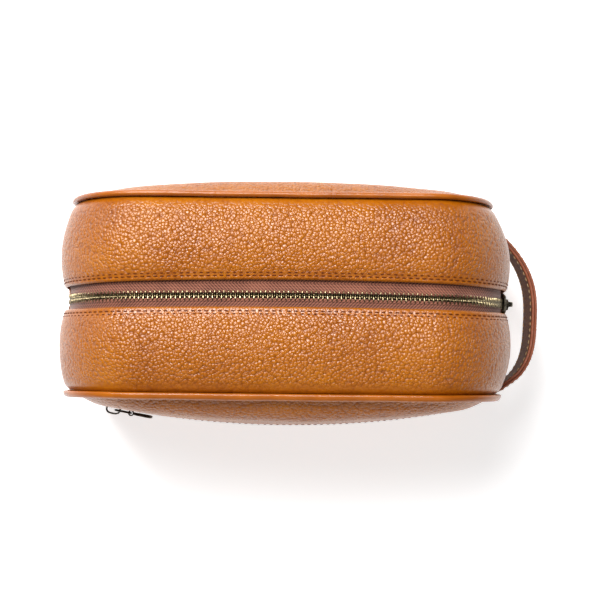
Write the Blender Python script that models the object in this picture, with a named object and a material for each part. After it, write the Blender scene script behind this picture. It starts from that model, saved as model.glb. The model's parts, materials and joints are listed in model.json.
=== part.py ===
"""A leather shaving kit bag, in metres.

+X is the bag's width and the side that carries the strap, -Y is the front with the zip pocket, and +Z is up.
The base rests on z = 0. A zipped gusset runs round the bag between a front and a back panel, and each of
its seams is covered by piping.
"""

import math

import bmesh
import bpy
import numpy as np
from mathutils import Matrix, Vector

for old in list(bpy.data.objects):
    bpy.data.objects.remove(old, do_unlink=True)

GAP = 0.0003  # between pieces that touch

# The gusset's outline, a rounded rectangle in XZ
HALF_WIDTH = 0.1235
TOP = 0.1485
TOP_RADIUS = 0.046
BASE_RADIUS = 0.030
TOP_STEPS = 10
BASE_STEPS = 6

# Gusset leather, as places across the bag (Y) and heights over the outline
LEATHER = 0.0020
WINDOW = 0.0073  # half the width of the zip's window
SEAM_Y = 0.0499
WINDOW_EDGE_RISE = -0.0010
SEAM_RISE = -0.0030
CROWN = 0.0035
BASE_FLAT = 0.042
FLAP_END = 0.0775  # the straight top run, where the mouth folds open
ZIP_LEATHER_END = 0.1662  # distance along the outline, from the top's middle

# Zip chain and tape
PITCH = 0.00245
CHAIN_RISE = -0.0037
CHAIN_THICK = 0.0026
CHAIN_HALF = 0.0031
TOOTH_REACH = 0.0009
TOOTH_GAP = 0.0005
CHAIN_END = 0.1560
TAPE_RISE = -0.0033
TAPE_THICK = 0.0006
TAPE_INNER = 0.0034
TAPE_OUTER = 0.0170
STOP_LENGTH = 0.0024

# Piping
PIPING_Y = 0.0530
PIPING_RISE = -0.0040
PIPING_RADIUS = 0.00285
PIPING_BORE = 0.0019
CORD_RADIUS = 0.0015
PIPING_SLIT = math.radians(40)

# Front and back panels
PANEL_INSET = 0.00735
PANEL_RIM_Y = 0.054
FRONT_BULGE = 0.0145
BACK_BULGE = 0.0125
PANEL_ARC = 0.520  # radius of the front panel's level section
RIM_ROLL = 0.012
BULGE_HEIGHT = 0.096
LINING = 0.0006
LINING_RISE = -0.0052
LINING_EDGE = 0.0485
LINING_WINDOW = 0.0085
PANEL_LINING_Y = 0.0496
LINING_SLACK = 0.45

# Front pocket
POCKET_Z = BULGE_HEIGHT
POCKET_HALF = 0.104
POCKET_WINDOW = 0.0062
WINDOW_CUT_Y = (-0.090, -0.045)
POCKET_CHAIN_DEPTH = 0.0030
POCKET_CHAIN_END = 0.1010
POCKET_TAPE_REACH = 0.0130
POUCH_HALF = 0.080
POUCH_TOP = 0.112
POUCH_BOTTOM = 0.031
POUCH_LIP = 0.082
POUCH_BENDS = (0.080, 0.055)
POUCH_FRONT_DEPTH = 0.0029
POUCH_BACK_DEPTH = 0.0069
POCKET_SLIDER_X = -0.096

# Sliders and pulls, measured from the chain's middle plane
SLIDER_LENGTH = 0.0110
SLIDER_CHANNEL = 0.0037
SLIDER_PLATE = (0.0017, 0.0029)
SLIDER_BACK = (-0.0032, -0.00205)
SLIDER_LIPS = (0.00075, -0.0011)
# (along, half width) from the tail, where the zip is closed, to the shoulders and the nose
SHIELD_EDGE = ((-0.0055, 0.0046), (-0.001, 0.0050), (0.0025, 0.0056), (0.0047, 0.0056), (0.0055, 0.0048))
CHANNEL_CUT = 0.010  # half the length of the cutter for the chain's channel
CUT_DEPTH = 0.005
BAIL_HALF = 0.0012
BAIL_FOOT = 0.0032
# (along, rise) of half the bail's arch, outside from foot to crown and inside from crown to foot
BAIL_OUTSIDE = ((0.0042, BAIL_FOOT), (0.0042, 0.0056), (0.0030, 0.0072))
BAIL_INSIDE = ((0.0018, 0.0060), (0.0026, 0.0052), (0.0026, BAIL_FOOT))
PIVOT_ALONG = 0.0012
PIVOT_RISE = 0.0046
BAR = 0.0010
LINK_LENGTH = 0.0090
LINK_HALF = 0.0032
ARM_INNER = 0.0019
EYE_RADIUS = 0.0018
EYE_BORE = 0.0010
EYE_HALF = 0.0015
TAB_RISE = (0.0041, 0.0059)
EYE_SIDES = 12
BLADE_ROOT = 0.0012  # from the eye's centre
# (length from the neck, half width) and (length short of the end, half width) of the tab
BLADE_NECK = ((0.0004, EYE_HALF), (0.0020, 0.0030))
BLADE_END = ((0.0040, 0.0040), (0.0012, 0.0034), (0.0, 0.0018))
MAIN_TAB = 0.0165
POCKET_TAB = 0.0110

# Side strap, an arch from seam to seam
STRAP_X = 0.1242
STRAP_RISE = 0.0197
STRAP_CROWN_Y = -0.008
STRAP_END_Y = 0.049
STRAP_Z = 0.055
STRAP_WIDTH = 0.021
STRAP_THICK = 0.0033
STRAP_TILT = math.radians(6)
STRAP_LOOP = (-0.0422, 0.0280)
STRAP_LANDING = (0.1259, 0.0405)  # X and Y where the loop meets the side at the back
BACK_POWER = 1.7
FRONT_POWER = 3.0
STRAP_SEWN_Y = 0.0485
PLY_SHARE = 0.04  # half the gap between the two plies, as a share of the strap's thickness
LOOP_STEPS, FRONT_STEPS, BACK_STEPS = 18, 4, 8

BOARD_HALF = (0.090, 0.0415)
BOARD_RISE = -0.0024
BOARD_THICK = 0.0015


# ---------------------------------------------------------------- materials


def material(name, colour, roughness, metallic=0.0):
    made = bpy.data.materials.new(name)
    made.use_nodes = True
    shader = made.node_tree.nodes["Principled BSDF"]
    shader.inputs["Base Color"].default_value = (*colour, 1.0)
    shader.inputs["Roughness"].default_value = roughness
    shader.inputs["Metallic"].default_value = metallic
    return made


TAN = material("tan_leather", (0.47, 0.17, 0.035), 0.45)
EDGE = material("strap_lining_leather", (0.10, 0.035, 0.015), 0.6)
TAPE = material("zip_tape", (0.17, 0.055, 0.035), 0.85)
BRASS = material("antique_brass", (0.42, 0.30, 0.14), 0.35, 1.0)
DARK = material("dark_bronze", (0.09, 0.07, 0.055), 0.4, 1.0)
CLOTH = material("lining_cloth", (0.06, 0.035, 0.02), 0.9)
CORD = material("piping_cord", (0.75, 0.72, 0.66), 0.9)
BOARD = material("stiffener_board", (0.12, 0.11, 0.10), 0.8)


# ---------------------------------------------------------------- mesh helpers


def joint_axis(name, place, parent=None):
    """An empty on a joint's axis, for the pieces that turn about it."""
    empty = bpy.data.objects.new(name, None)
    bpy.context.scene.collection.objects.link(empty)
    empty.location = place
    empty["place"] = place
    if parent:
        empty.parent = parent
        empty.location = Vector(place) - Vector(parent["place"])
    return empty


def finished(bm, name, paint, parent=None):
    """The object made from a bmesh in world coordinates, hung on its joint's empty if it has one."""
    bmesh.ops.recalc_face_normals(bm, faces=bm.faces)
    if parent:
        bm.transform(Matrix.Translation(-Vector(parent["place"])))
    mesh = bpy.data.meshes.new(name)
    bm.to_mesh(mesh)
    bm.free()
    mesh.materials.append(paint)
    mesh.shade_smooth()
    mesh.set_sharp_from_angle(angle=math.radians(35))
    made = bpy.data.objects.new(name, mesh)
    bpy.context.scene.collection.objects.link(made)
    made.parent = parent
    return made


def sheet(name, columns, rows, place, paint, parent=None, keep=None):
    """A closed sheet over a grid. place(column, row, face) is a corner on the outer (0) or inner (1) face."""
    bm = bmesh.new()
    corners = {}

    def corner(i, j, face):
        key = (i, j, face)
        if key not in corners:
            corners[key] = bm.verts.new(place(columns[i], rows[j], face))
        return corners[key]

    cells = {
        (i, j)
        for i in range(len(columns) - 1)
        for j in range(len(rows) - 1)
        if keep is None or keep(columns[i], columns[i + 1], rows[j], rows[j + 1])
    }
    for i, j in sorted(cells):
        ring = [(i, j), (i + 1, j), (i + 1, j + 1), (i, j + 1)]
        bm.faces.new([corner(*at, 0) for at in ring])
        bm.faces.new([corner(*at, 1) for at in reversed(ring)])
        beyond = [(i, j - 1), (i + 1, j), (i, j + 1), (i - 1, j)]
        for k, cell in enumerate(beyond):
            if cell not in cells:
                a, b = ring[k], ring[(k + 1) % 4]
                bm.faces.new([corner(*b, 0), corner(*a, 0), corner(*a, 1), corner(*b, 1)])
    return finished(bm, name, paint, parent)


def sweep(name, loops, paint, closed=False, parent=None):
    """A solid through a row of section loops, joined into a ring or capped at both ends."""
    bm = bmesh.new()
    made = [[bm.verts.new(point) for point in loop] for loop in loops]
    pairs = list(zip(made, made[1:] + made[:1])) if closed else list(zip(made, made[1:]))
    for first, second in pairs:
        for k in range(len(first)):
            after = (k + 1) % len(first)
            bm.faces.new([first[k], first[after], second[after], second[k]])
    if not closed:
        bm.faces.new(made[0])
        bm.faces.new(made[-1])
    return finished(bm, name, paint, parent)


def prism(name, outline, low, high, place, paint, parent=None):
    """An outline pushed from low to high. place(a, b, h) puts its points in the bag."""
    loops = [[place(a, b, h) for a, b in outline] for h in (low, high)]
    return sweep(name, loops, paint, parent=parent)


def boolean(target, tool, operation):
    tool.hide_render = True
    tool.display_type = "WIRE"
    step = target.modifiers.new(operation.lower(), "BOOLEAN")
    step.operation = operation
    step.solver = "EXACT"
    step.object = tool


# ---------------------------------------------------------------- gusset outline


def outline_points():
    """(x, z, outward x, outward z) from the top's middle down the right side to the base's middle."""
    points = [(0.0, TOP, 0.0, 1.0)]
    for centre_x, centre_z, radius, start, steps in (
        (HALF_WIDTH - TOP_RADIUS, TOP - TOP_RADIUS, TOP_RADIUS, 90, TOP_STEPS),
        (HALF_WIDTH - BASE_RADIUS, BASE_RADIUS, BASE_RADIUS, 0, BASE_STEPS),
    ):
        for k in range(steps + 1):
            angle = math.radians(start - 90 * k / steps)
            out_x, out_z = math.cos(angle), math.sin(angle)
            points.append((centre_x + radius * out_x, centre_z + radius * out_z, out_x, out_z))
    points.append((0.0, 0.0, 0.0, -1.0))
    return points


OUTLINE = outline_points()
LENGTHS = [0.0]
for first, second in zip(OUTLINE, OUTLINE[1:]):
    LENGTHS.append(LENGTHS[-1] + math.hypot(second[0] - first[0], second[1] - first[1]))
HALF_ROUND = LENGTHS[-1]


def on_ring(along, y, rise):
    """A point over the outline: along is its distance from the top's middle, to the right, round the base."""
    if along > HALF_ROUND:
        along -= 2 * HALF_ROUND
    distance = min(abs(along), HALF_ROUND)
    i = min(int(np.searchsorted(LENGTHS, distance, side="right")) - 1, len(OUTLINE) - 2)
    share = (distance - LENGTHS[i]) / (LENGTHS[i + 1] - LENGTHS[i])
    ends = [(x + rise * nx, z + rise * nz) for x, z, nx, nz in OUTLINE[i : i + 2]]
    x = ends[0][0] + share * (ends[1][0] - ends[0][0])
    z = ends[0][1] + share * (ends[1][1] - ends[0][1])
    return Vector((math.copysign(x, along), y, z))


def stations(start, end, extra=()):
    """Distances from start to end, with each bend of the outline and any extra ones between."""
    bends = [side * length for length in LENGTHS for side in (1, -1)]
    bends += [2 * HALF_ROUND - length for length in LENGTHS]
    inside = sorted(a for a in (*bends, *extra) if start + 1e-5 < a < end - 1e-5)
    kept = [start]
    for a in (*inside, end):
        if a - kept[-1] > 1e-5:
            kept.append(a)
    return kept


def strip_rise(y):
    """Height of a zip strip's face over the outline: crowned between the window and the seam."""
    share = (abs(y) - WINDOW) / (SEAM_Y - WINDOW)
    return (
        WINDOW_EDGE_RISE * (1 - share) + SEAM_RISE * share + 4 * CROWN * share * (1 - share)
    )


def base_rise(y):
    """Height of the base and side gusset's face over the outline: flat, and rolled down to the seams."""
    over = max(0.0, abs(y) - BASE_FLAT) / (SEAM_Y - BASE_FLAT)
    return SEAM_RISE * over**2


def zigzag(along, pitch=PITCH):
    """The line between two rows of meshed teeth."""
    phase = (along / pitch) % 1.0
    return TOOTH_REACH * (4 * abs(phase - 0.5) - 1)


def tooth_corners(start, end, pitch=PITCH):
    first, last = math.ceil(2 * start / pitch), math.floor(2 * end / pitch)
    return [k * pitch / 2 for k in range(first, last + 1)]


FOLD_Z = TOP + SEAM_RISE
FRONT_FOLD = joint_axis("mouth_front_axis", (0.0, -SEAM_Y, FOLD_Z))
BACK_FOLD = joint_axis("mouth_back_axis", (0.0, SEAM_Y, FOLD_Z))
HALVES = (("front", -1, FRONT_FOLD), ("back", 1, BACK_FOLD))


def zip_lengths(fold):
    """The three lengths that each half of the zipped gusset is cut into."""
    near, far = FLAP_END + GAP / 2, ZIP_LEATHER_END
    return (
        ("left", -far, -near, None),
        ("top", -FLAP_END + GAP / 2, FLAP_END - GAP / 2, fold),
        ("right", near, far, None),
    )


def zipped_gusset():
    for half, side, fold in HALVES:
        for part, start, end, parent in zip_lengths(fold):
            ys = [side * y for y in np.linspace(WINDOW, SEAM_Y, 7)]
            sheet(
                f"gusset_{half}_{part}",
                stations(start, end),
                ys,
                lambda a, y, face: on_ring(a, y, strip_rise(y) - LEATHER * face),
                TAN,
                parent,
            )
            sheet(
                f"zip_tape_{half}_{part}",
                stations(start, end),
                [side * TAPE_INNER, side * TAPE_OUTER],
                lambda a, y, face: on_ring(a, y, TAPE_RISE - TAPE_THICK * face),
                TAPE,
                parent,
            )
            tooth_row(half, side, part, start, end, parent)


def tooth_row(half, side, part, start, end, parent):
    start, end = max(start, -CHAIN_END), min(end, CHAIN_END)

    def place(along, edge, face):
        line = zigzag(along) + side * TOOTH_GAP / 2
        y = line if edge else side * CHAIN_HALF
        return on_ring(along, y, CHAIN_RISE + CHAIN_THICK * (0.5 - face))

    corners = stations(start, end, tooth_corners(start, end))
    sheet(f"zip_teeth_{half}_{part}", corners, [0, 1], place, BRASS, parent)


def base_gusset():
    start, end = ZIP_LEATHER_END + GAP, 2 * HALF_ROUND - ZIP_LEATHER_END - GAP
    ys = [-SEAM_Y, -0.0475, -0.045, -BASE_FLAT, BASE_FLAT, 0.045, 0.0475, SEAM_Y]
    sheet(
        "base_gusset",
        stations(start, end),
        ys,
        lambda a, y, face: on_ring(a, y, base_rise(y) - LEATHER * face),
        TAN,
    )


def gusset_lining():
    """The lining round the inside: whole at the base, and parted along the zip."""
    start, end = FLAP_END + GAP / 2, 2 * HALF_ROUND - FLAP_END - GAP / 2
    top, other = ZIP_LEATHER_END, 2 * HALF_ROUND - ZIP_LEATHER_END
    edges = [-LINING_EDGE, -LINING_WINDOW, LINING_WINDOW, LINING_EDGE]

    def place(along, y, face):
        return on_ring(along, y, LINING_RISE - LINING * face)

    def keep(a0, a1, y0, y1):
        return y0 < 0 < y1 and top - 1e-6 < a0 and a1 < other + 1e-6 or y0 * y1 > 0

    sheet("gusset_lining", stations(start, end, (top, other)), edges, place, CLOTH, keep=keep)
    for half, side, fold in HALVES:
        ends = [-FLAP_END + GAP / 2, FLAP_END - GAP / 2]
        ys = [side * LINING_WINDOW, side * (LINING_EDGE - GAP)]
        sheet(f"lining_{half}_flap", ends, ys, place, CLOTH, fold)


def base_board():
    """The stiffener between the base leather and its lining."""
    sheet(
        "base_board",
        [-BOARD_HALF[0], BOARD_HALF[0]],
        [-BOARD_HALF[1], BOARD_HALF[1]],
        lambda x, y, face: Vector((x, y, -BOARD_RISE + BOARD_THICK * (1 - face))),
        BOARD,
    )


def zip_stops():
    """The clip that joins the chain's left end, and the two that end its right rows by the closed slider."""
    low = CHAIN_RISE - CHAIN_THICK / 2
    clips = [("zip_bottom_stop", -CHAIN_END - GAP - STOP_LENGTH, -CHAIN_HALF, CHAIN_HALF)]
    for half, side, _ in HALVES:
        ys = sorted((side * TOOTH_GAP, side * CHAIN_HALF))
        clips.append((f"zip_top_stop_{half}", CHAIN_END + GAP, *ys))
    for name, start, y0, y1 in clips:
        sheet(
            name,
            [start, start + STOP_LENGTH],
            [y0, y1],
            lambda a, y, face: on_ring(a, y, low + CHAIN_THICK * (1 - face)),
            BRASS,
        )


# ---------------------------------------------------------------- piping


def ring_around(y, rise, section):
    """A section carried once round the outline. Its points are (y, rise) offsets."""
    bends = [*LENGTHS[1:-1], *(2 * HALF_ROUND - a for a in reversed(LENGTHS[1:-1]))]
    return [[on_ring(a, y + dy, rise + dr) for dy, dr in section] for a in bends]


def piping():
    """Leather rolled round a cord, open where its edges go into the seam."""
    start, end = -math.pi / 2 + PIPING_SLIT / 2, 3 * math.pi / 2 - PIPING_SLIT / 2
    angles = np.linspace(start, end, 8)
    shell = [(PIPING_RADIUS * math.cos(a), PIPING_RADIUS * math.sin(a)) for a in angles]
    bore = np.linspace(end, start, 6)
    shell += [(PIPING_BORE * math.cos(a), PIPING_BORE * math.sin(a)) for a in bore]
    turns = [2 * math.pi * k / 6 for k in range(6)]
    core = [(CORD_RADIUS * math.cos(a), CORD_RADIUS * math.sin(a)) for a in turns]
    for half, side, _ in HALVES:
        y = side * PIPING_Y
        sweep(f"{half}_piping", ring_around(y, PIPING_RISE, shell), TAN, closed=True)
        sweep(f"{half}_piping_cord", ring_around(y, PIPING_RISE, core), CORD, closed=True)


# ---------------------------------------------------------------- panels


PANEL_HALF = HALF_WIDTH - PANEL_INSET
PANEL_TOP = TOP - PANEL_INSET
PANEL_TOP_RADIUS = TOP_RADIUS - PANEL_INSET
PANEL_BASE_RADIUS = BASE_RADIUS - PANEL_INSET
CORNER_X = HALF_WIDTH - TOP_RADIUS


def corner_height(x, radius):
    """How far a rounded corner has turned away from its straight edge at x."""
    over = max(0.0, abs(x) - (PANEL_HALF - radius))
    return radius - math.sqrt(max(0.0, radius**2 - over**2))


def rim_distance(x, z):
    """Distance inside the panel's rounded outline."""
    flat = min(PANEL_HALF - abs(x), PANEL_TOP - z, z - PANEL_INSET)
    for radius, depth in (
        (PANEL_TOP_RADIUS, z - (PANEL_TOP - PANEL_TOP_RADIUS)),
        (PANEL_BASE_RADIUS, PANEL_INSET + PANEL_BASE_RADIUS - z),
    ):
        across = abs(x) - (PANEL_HALF - radius)
        if across > 0 and depth > 0:
            return max(0.0, radius - math.hypot(across, depth))
    return max(0.0, flat)


def bulge(x, z, height):
    """How far a stuffed panel stands out from its rim. Its level section at BULGE_HEIGHT is an arc."""
    across = 1 - (PANEL_ARC - math.sqrt(PANEL_ARC**2 - x**2)) / FRONT_BULGE
    up = (z - BULGE_HEIGHT) / (PANEL_TOP - BULGE_HEIGHT)
    down = (BULGE_HEIGHT - z) / BULGE_HEIGHT
    level = 1 - 0.35 * up**2 if z > BULGE_HEIGHT else 1 - 0.5 * down**2
    rolled = 1 - (1 - min(rim_distance(x, z) / RIM_ROLL, 1.0)) ** 2
    return height * across * level * rolled


def dome(name, side, rim_y, height, thick, columns, rows, paint):
    """A bulged panel. rows are shares of the height that the outline leaves at each column."""

    def place(x, share, face):
        low = PANEL_INSET + corner_height(x, PANEL_BASE_RADIUS)
        high = PANEL_TOP - corner_height(x, PANEL_TOP_RADIUS)
        z = low + share * (high - low)
        return Vector((x, side * (rim_y + bulge(x, z, height) - thick * face), z))

    return sheet(name, columns, rows, place, paint)


def both_ways(values):
    return [-v for v in reversed(values)] + [0.0] + list(values)


def panels():
    corner = [CORNER_X + PANEL_TOP_RADIUS * math.sin(math.radians(a)) for a in range(0, 91, 15)]
    columns = both_ways([0.020, 0.040, 0.059, *corner])
    rim = [0.0, 0.02, 0.05, 0.09]
    rows = [*rim, 0.25, 0.42, 0.56, 0.66, 0.78, *(1 - r for r in reversed(rim))]
    front = dome("front_panel", -1, PANEL_RIM_Y, FRONT_BULGE, LEATHER, columns, rows, TAN)
    dome("back_panel", 1, PANEL_RIM_Y, BACK_BULGE, LEATHER, columns, rows, TAN)

    cutter = prism(
        "pocket_window_cutter",
        [
            (-POCKET_HALF, -POCKET_WINDOW),
            (POCKET_HALF, -POCKET_WINDOW),
            (POCKET_HALF, POCKET_WINDOW),
            (-POCKET_HALF, POCKET_WINDOW),
        ],
        *WINDOW_CUT_Y,
        lambda x, z, y: Vector((x, y, POCKET_Z + z)),
        TAN,
    )
    boolean(front, cutter, "DIFFERENCE")

    columns = both_ways([0.040, *corner[::2]])
    rows = [0.0, 0.037, 0.09, 0.3, 0.5, 0.7, 0.91, 0.963, 1.0]
    for half, side, height in (("front", -1, FRONT_BULGE), ("back", 1, BACK_BULGE)):
        slack = LINING_SLACK * height
        dome(f"{half}_lining", side, PANEL_LINING_Y, slack, LINING, columns, rows, CLOTH)


# ---------------------------------------------------------------- front pocket


def on_panel(x, z, depth):
    """A point behind the front panel's face, at a depth."""
    return Vector((x, -(PANEL_RIM_Y + bulge(x, z, FRONT_BULGE)) + depth, z))


def arc_columns(half, extra=()):
    """Places across the pocket's zip, close enough for its arc."""
    wanted = sorted([*np.linspace(-half, half, 17), *extra])
    kept = [wanted[0]]
    for x in wanted[1:]:
        if x - kept[-1] > 1e-5:
            kept.append(float(x))
    return kept


def on_arc(x, z, depth):
    """A point on the pocket's zip, whose level section is an arc of PANEL_ARC."""
    sag = PANEL_ARC - math.sqrt(PANEL_ARC**2 - x**2)
    return Vector((x, -(PANEL_RIM_Y + FRONT_BULGE - sag) + depth, z))


def pocket():
    for row, side in (("upper", 1), ("lower", -1)):
        sheet(
            f"pocket_tape_{row}",
            arc_columns(POCKET_HALF + 0.003),
            [POCKET_Z + side * TAPE_INNER, POCKET_Z + side * POCKET_TAPE_REACH],
            lambda x, z, face: on_panel(x, z, LEATHER + 2 * GAP + TAPE_THICK * face),
            TAPE,
        )

        def place(x, edge, face, side=side):
            line = zigzag(x) + side * TOOTH_GAP / 2
            z = POCKET_Z + (line if edge else side * CHAIN_HALF)
            knots = arc_columns(POCKET_CHAIN_END)
            i = min(int(np.searchsorted(knots, x, side="right")) - 1, len(knots) - 2)
            share = (x - knots[i]) / (knots[i + 1] - knots[i])
            depth = POCKET_CHAIN_DEPTH - CHAIN_THICK * (0.5 - face)
            low, high = (on_arc(knots[k], z, depth) for k in (i, i + 1))
            return low.lerp(high, share)

        corners = tooth_corners(-POCKET_CHAIN_END, POCKET_CHAIN_END)
        columns = arc_columns(POCKET_CHAIN_END, corners)
        sheet(f"pocket_teeth_{row}", columns, [0, 1], place, DARK)

    for end, side in (("left", -1), ("right", 1)):
        near = POCKET_CHAIN_END + GAP
        sheet(
            f"pocket_stop_{end}",
            sorted((side * near, side * (near + STOP_LENGTH))),
            [POCKET_Z - CHAIN_HALF, POCKET_Z + CHAIN_HALF],
            lambda x, z, face: on_arc(x, z, POCKET_CHAIN_DEPTH - CHAIN_THICK * (0.5 - face)),
            DARK,
        )

    front, back = POUCH_FRONT_DEPTH, POUCH_BACK_DEPTH
    high, low = POUCH_BENDS
    inner = POUCH_BOTTOM + LINING
    layers = [
        ((POUCH_TOP, back), (POUCH_TOP, back + LINING)),
        ((POCKET_Z, back), (POCKET_Z, back + LINING)),
        ((high, back), (high, back + LINING)),
        ((low, back), (low, back + LINING)),
        ((inner, back), (POUCH_BOTTOM, back + LINING)),
        ((inner, front + LINING), (POUCH_BOTTOM, front)),
        ((low, front + LINING), (low, front)),
        ((POUCH_LIP, front + LINING), (POUCH_LIP, front)),
    ]
    sheet(
        "pocket_pouch",
        list(np.linspace(-POUCH_HALF, POUCH_HALF, 9)),
        layers,
        lambda x, layer, face: on_panel(x, *layer[face]),
        CLOTH,
    )


# ---------------------------------------------------------------- sliders and pulls


def mirrored(half):
    """A closed outline from its points on one side of the long axis."""
    return half + [(a, -b) for a, b in reversed(half)]


def slider(name, frame, paint, slide_axis, pull_axis, tab_length):
    """A zip slider, its bail and its pull. In frame, X runs the way the pull lies and Z stands off the chain."""

    def place(a, b, h):
        return frame @ Vector((a, b, h))

    shield = mirrored(list(SHIELD_EDGE))
    channel = mirrored([(-CHANNEL_CUT, SLIDER_CHANNEL), (CHANNEL_CUT, SLIDER_CHANNEL)])
    lip, plate = SLIDER_LIPS, (SLIDER_PLATE, SLIDER_BACK)
    front = prism(name, shield, lip[0], plate[0][1], place, paint, slide_axis)
    back = prism(f"{name}_back_plate", shield, plate[1][0], lip[1], place, paint, slide_axis)
    for body, low, high in ((front, -CUT_DEPTH, plate[0][0]), (back, plate[1][1], CUT_DEPTH)):
        tool = prism(f"{body.name}_channel", channel, low, high, place, paint)
        boolean(body, tool, "DIFFERENCE")

    arch = [(-a, h) for a, h in BAIL_OUTSIDE]
    arch += list(reversed(BAIL_OUTSIDE))
    arch += list(reversed(BAIL_INSIDE))
    arch += [(-a, h) for a, h in BAIL_INSIDE]
    prism(
        f"{name}_bail",
        arch,
        -BAIL_HALF,
        BAIL_HALF,
        lambda a, h, b: place(a, b, h),
        paint,
        slide_axis,
    )

    bar = BAR / 2
    pull = name.replace("slider", "pull")
    ends = [-bar, bar, LINK_LENGTH - bar, LINK_LENGTH + bar]
    sheet(
        f"{pull}_link",
        [PIVOT_ALONG + a for a in ends],
        [-LINK_HALF, -ARM_INNER, ARM_INNER, LINK_HALF],
        lambda a, b, face: place(a, b, PIVOT_RISE + bar - BAR * face),
        paint,
        pull_axis,
        keep=lambda a0, a1, b0, b1: not (a1 - a0 > 2 * BAR and b0 < 0 < b1),
    )

    eye = PIVOT_ALONG + LINK_LENGTH
    neck = eye + bar + 2 * GAP
    end = neck + tab_length
    blade = mirrored(
        [(eye + BLADE_ROOT, EYE_HALF)]
        + [(neck + a, width) for a, width in BLADE_NECK]
        + [(end - a, width) for a, width in BLADE_END]
    )
    tab = prism(f"{pull}_tab", blade, *TAB_RISE, place, paint, pull_axis)
    turns = [2 * math.pi * (k + 0.5) / EYE_SIDES for k in range(EYE_SIDES)]
    for radius, width, operation in (
        (EYE_RADIUS, EYE_HALF, "UNION"),
        (EYE_BORE, 2 * EYE_HALF, "DIFFERENCE"),
    ):
        ring = [
            (eye + radius * math.cos(a), PIVOT_RISE + radius * math.sin(a)) for a in turns
        ]
        tool = prism(
            f"{pull}_{operation.lower()}",
            ring,
            -width,
            width,
            lambda a, h, b: place(a, b, h),
            paint,
        )
        boolean(tab, tool, operation)


def sliders():
    corner = (CORNER_X, 0.0, TOP - TOP_RADIUS)
    chain = Vector((HALF_WIDTH + CHAIN_RISE, 0.0, TOP - TOP_RADIUS))
    frame = Matrix(((0, 0, 1), (0, 1, 0), (-1, 0, 0))).to_4x4()
    frame.translation = chain
    slide_axis = joint_axis("main_slider_axis", corner)
    pivot = frame @ Vector((PIVOT_ALONG, 0.0, PIVOT_RISE))
    pull_axis = joint_axis("main_pull_axis", tuple(pivot), slide_axis)
    slider("main_slider", frame, BRASS, slide_axis, pull_axis, MAIN_TAB)

    x = POCKET_SLIDER_X
    centre = Vector((0.0, PANEL_ARC - PANEL_RIM_Y - FRONT_BULGE, POCKET_Z))
    outward = Vector((x, -math.sqrt(PANEL_ARC**2 - x**2), 0.0)).normalized()
    tangent = Vector((-outward.y, outward.x, 0.0))
    frame = Matrix((tangent, outward.cross(tangent), outward)).transposed().to_4x4()
    frame.translation = centre + outward * (PANEL_ARC - POCKET_CHAIN_DEPTH)
    slide_axis = joint_axis("pocket_slider_axis", tuple(centre))
    pivot = frame @ Vector((PIVOT_ALONG, 0.0, PIVOT_RISE))
    pull_axis = joint_axis("pocket_pull_axis", tuple(pivot), slide_axis)
    slider("pocket_slider", frame, DARK, slide_axis, pull_axis, POCKET_TAB)


# ---------------------------------------------------------------- strap


def strap_line(y):
    """The strap's middle line in plan: an arch whose crown is nearer the front."""
    over = y - STRAP_CROWN_Y
    if over > 0:
        x, y_landing = STRAP_LANDING
        if y > y_landing:
            return x + (STRAP_X - x) * (y - y_landing) / (STRAP_END_Y - y_landing)
        share = over / (y_landing - STRAP_CROWN_Y)
        return x + (STRAP_X + STRAP_RISE - x) * (1 - share**BACK_POWER)
    return STRAP_X + STRAP_RISE * (1 - (-over / (STRAP_END_Y + STRAP_CROWN_Y)) ** FRONT_POWER)


def strap_piece(name, start, end, steps, inner, outer, paint, parent=None):
    """A length of the strap between two shares of its thickness, cut square to Y."""

    def place(y, z, face):
        slope = (strap_line(y + 1e-4) - strap_line(y - 1e-4)) / 2e-4
        layer = (inner if face else outer) * STRAP_THICK * math.hypot(1, slope)
        lift = (strap_line(y) - STRAP_X) / STRAP_RISE
        lean = math.tan(STRAP_TILT) * (z - STRAP_Z) * lift
        return Vector((strap_line(y) + layer + lean, y, z))

    ys = list(np.linspace(start, end, steps + 1))
    zs = [STRAP_Z - STRAP_WIDTH / 2, STRAP_Z + STRAP_WIDTH / 2]
    sheet(name, ys, zs, place, paint, parent)


def strap():
    low, high = STRAP_LOOP
    hinge = joint_axis("strap_axis", ((strap_line(low) + strap_line(high)) / 2, 0.0, STRAP_Z))
    strap_piece("strap_outer", low, high, LOOP_STEPS, PLY_SHARE, 0.5, TAN, hinge)
    strap_piece("strap_backing", low, high, LOOP_STEPS, -0.5, -PLY_SHARE, EDGE, hinge)
    strap_piece("strap_end_front", -STRAP_SEWN_Y, low - GAP, FRONT_STEPS, -0.5, 0.5, TAN)
    strap_piece("strap_end_back", high + GAP, STRAP_SEWN_Y, BACK_STEPS, -0.5, 0.5, TAN)


zipped_gusset()
base_gusset()
gusset_lining()
base_board()
zip_stops()
piping()
panels()
pocket()
sliders()
strap()
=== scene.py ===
"""Looks of the leather shaving kit bag: pebbled leather, a brass zip, stitching, piping and a side strap.

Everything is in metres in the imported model's frame: +X to the strap, -Y the front, +Z up.
"""

import json
import math

import bmesh
import bpy
import numpy as np
from mathutils import Matrix, Vector


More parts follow.
